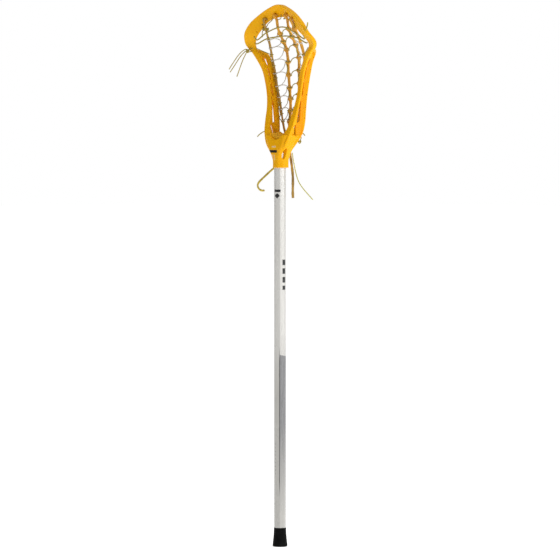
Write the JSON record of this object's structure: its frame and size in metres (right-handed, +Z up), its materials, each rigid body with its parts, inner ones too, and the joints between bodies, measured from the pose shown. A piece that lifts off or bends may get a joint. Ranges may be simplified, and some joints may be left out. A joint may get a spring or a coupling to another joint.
{
  "type": "lacrosse stick",
  "caption": "Women's lacrosse stick with a moulded scoop-shaped head, a traditional laced thong pocket, an octagonal tube shaft and a pull-off rubber butt cap.",
  "frame": {"origin": "centre of the butt cap's flat bottom face", "axes": "+Z up the shaft to the scoop, +X to the right of the head seen from its open face, -Y out of the open face, +Y towards the hanging pocket"},
  "size_m": [0.2209, 0.0677, 1.092],
  "materials": {
    "head_nylon": "satin moulded nylon, golden yellow",
    "shaft_paint": "white painted aluminium tube",
    "cap_rubber": "matte black rubber",
    "thong_leather": "dyed leather thong",
    "lace_yellow": "braided nylon lace, yellow",
    "lace_white": "braided nylon lace, off-white",
    "pad_foam": "thin foam pad",
    "screw_steel": "zinc plated steel"
  },
  "bodies": {
    "stick": {"shaft_tube": "shaft_paint", "head_frame": "head_nylon", "head_screw": "screw_steel", "ball_stop_pad": "pad_foam", "runner_left_outer": "thong_leather", "runner_left_inner": "thong_leather", "runner_right_outer": "thong_leather", "runner_right_inner": "thong_leather", "crosslace_left": "lace_white", "crosslace_middle": "lace_yellow", "crosslace_right": "lace_white", "sidewall_string_left": "lace_yellow", "sidewall_string_right": "lace_yellow", "top_string": "lace_yellow", "shooting_string_upper": "lace_yellow", "shooting_string_lower": "lace_yellow", "bottom_lace": "lace_yellow", "shoulder_knot_left": "lace_yellow", "low_knot_right": "lace_yellow", "shoulder_tail_upper": "lace_yellow", "shoulder_tail_middle": "lace_yellow", "shoulder_tail_lower": "lace_yellow", "right_lace_tail": "lace_yellow", "left_thong_tail": "thong_leather", "right_thong_tail": "thong_leather"},
    "cap": {"butt_cap": "cap_rubber"}
  },
  "joints": [
    {"name": "butt_cap_pull", "type": "slide", "parent": "stick", "child": "cap", "axis": [0, 0, -1], "range_m": [0, 0.045]}
  ]
}
